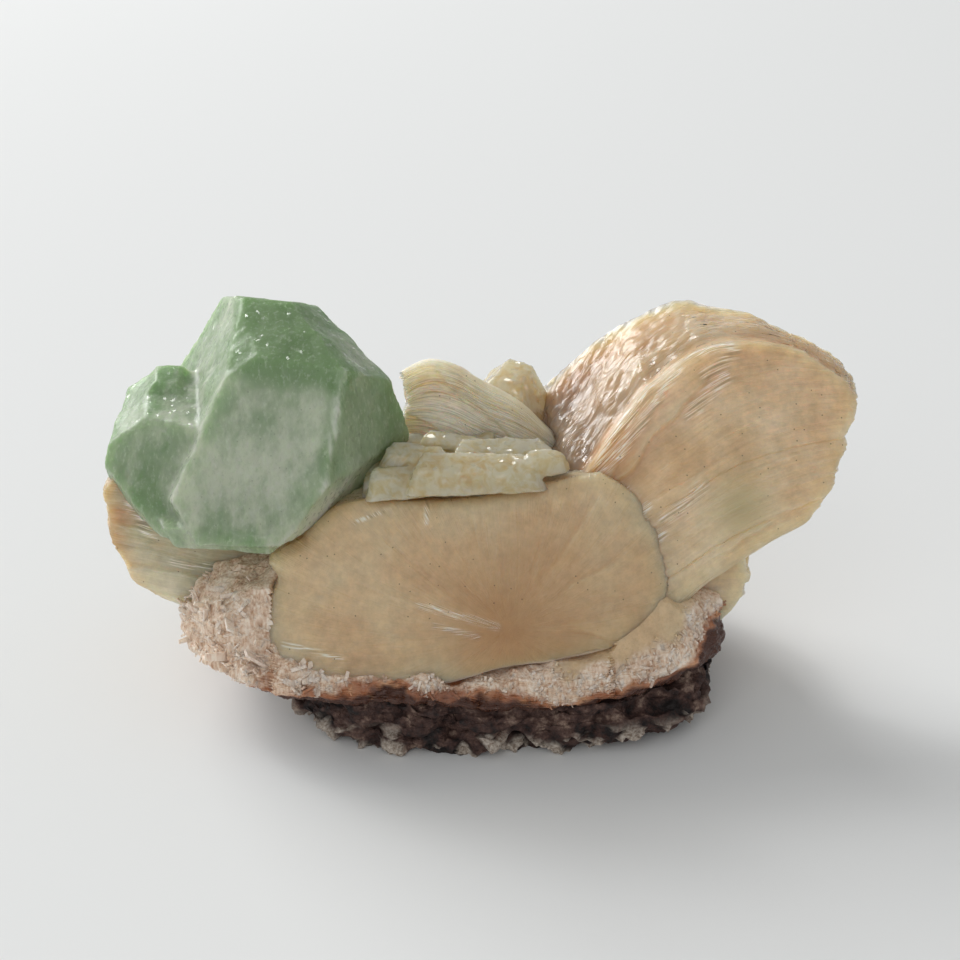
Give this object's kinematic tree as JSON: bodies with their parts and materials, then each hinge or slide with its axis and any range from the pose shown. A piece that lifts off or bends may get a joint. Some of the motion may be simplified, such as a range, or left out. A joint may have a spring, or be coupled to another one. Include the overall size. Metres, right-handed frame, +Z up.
{
  "type": "fluorite and stilbite specimen",
  "caption": "Mineral specimen: a milky green blocky crystal beside fanned tan stilbite sheaves on a druse crust and a dark basalt base.",
  "frame": {"origin": "middle of the specimen's footprint, on the surface that it stands on", "axes": "+X to the right along the specimen, +Y to its back, +Z up"},
  "size_m": [0.1098, 0.0518, 0.0582],
  "materials": {
    "basalt": "rough broken volcanic rock",
    "druse": "sparkling crust of tiny crystals",
    "stilbite": "satin, finely fluted along the blades",
    "pale_stilbite": "satin, layered blades",
    "fluorite": "milky, half clear, glassy faces",
    "clear_crystal": "clear, glassy faces"
  },
  "bodies": {
    "root": {"basalt_base": "basalt", "druse_crust": "druse", "fluorite_crystal": "fluorite", "stilbite_bow_tie": "stilbite", "stilbite_right_fan": "stilbite", "stilbite_middle_sheaf": "stilbite", "stilbite_left_blades": "pale_stilbite", "stilbite_right_blades": "stilbite", "clear_crystal": "clear_crystal", "saddle_crystals": "clear_crystal"}
  },
  "joints": []
}
